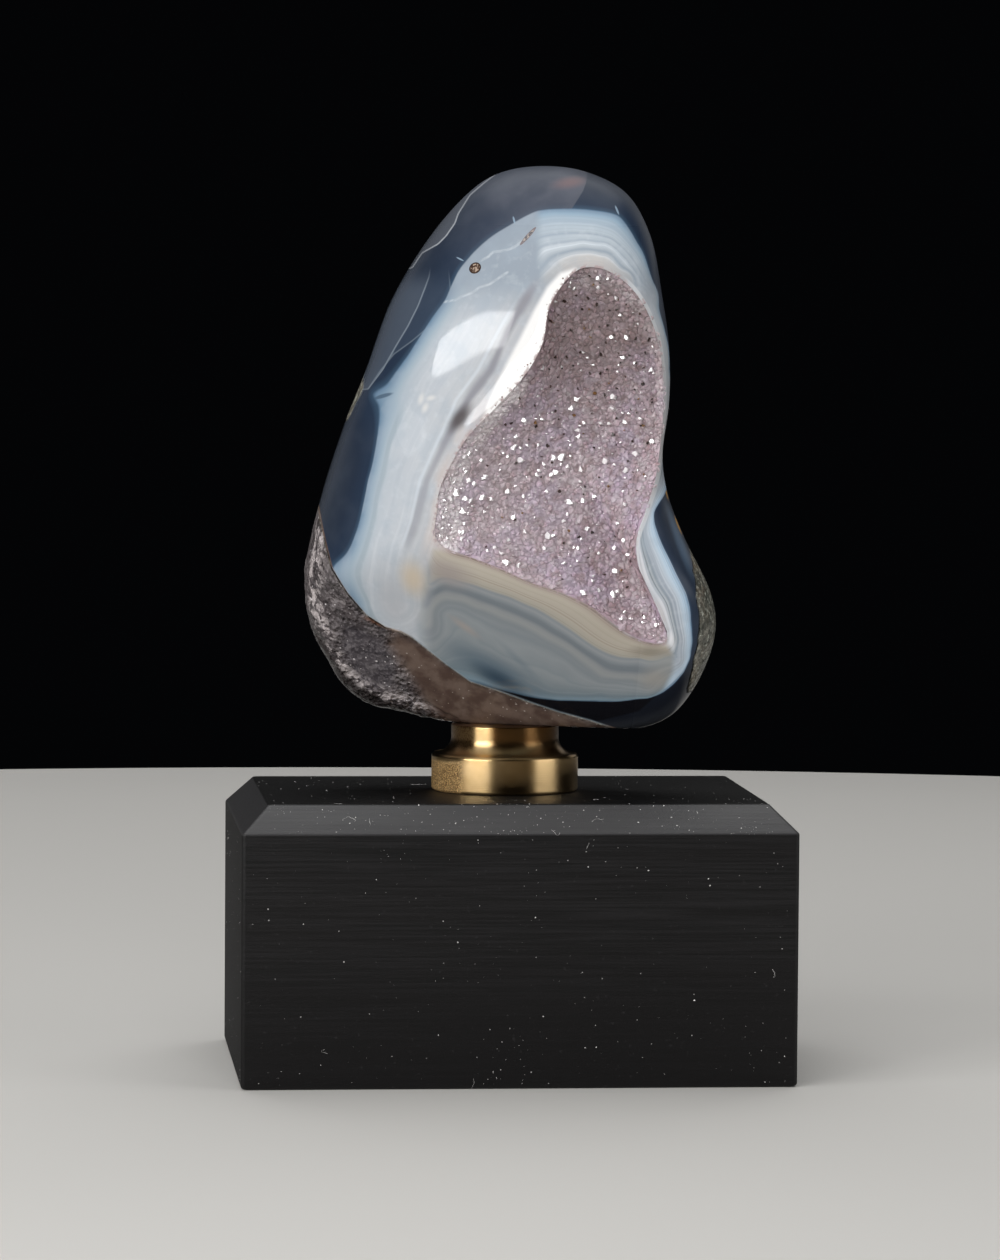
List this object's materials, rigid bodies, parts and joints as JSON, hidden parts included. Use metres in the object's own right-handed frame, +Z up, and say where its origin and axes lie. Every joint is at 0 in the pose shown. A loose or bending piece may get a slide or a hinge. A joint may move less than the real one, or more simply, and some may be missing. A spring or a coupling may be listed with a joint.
{
  "type": "agate and amethyst geode on a display block",
  "caption": "Polished banded agate stone with an open hollow lined with small amethyst crystals, on a turned brass collar and a chamfered black wooden block.",
  "frame": {"origin": "middle of the block's underside", "axes": "+X along the block's width to the right, +Y to the back, +Z up; the polished face and the hollow look along -Y"},
  "size_m": [0.1, 0.069, 0.1652],
  "materials": {
    "agate": "polished chalcedony, banded white, light blue and grey with a dark translucent navy outer layer, rough natural rind behind",
    "amethyst": "druse of small pale lavender quartz points, glassy faces",
    "brass": "turned, satin, lightly aged",
    "black_wood": "black stain, matte, fine grain"
  },
  "bodies": {
    "root": {"agate_stone": "agate", "amethyst_crust": "amethyst", "brass_collar": "brass", "wood_block": "black_wood"}
  },
  "joints": []
}
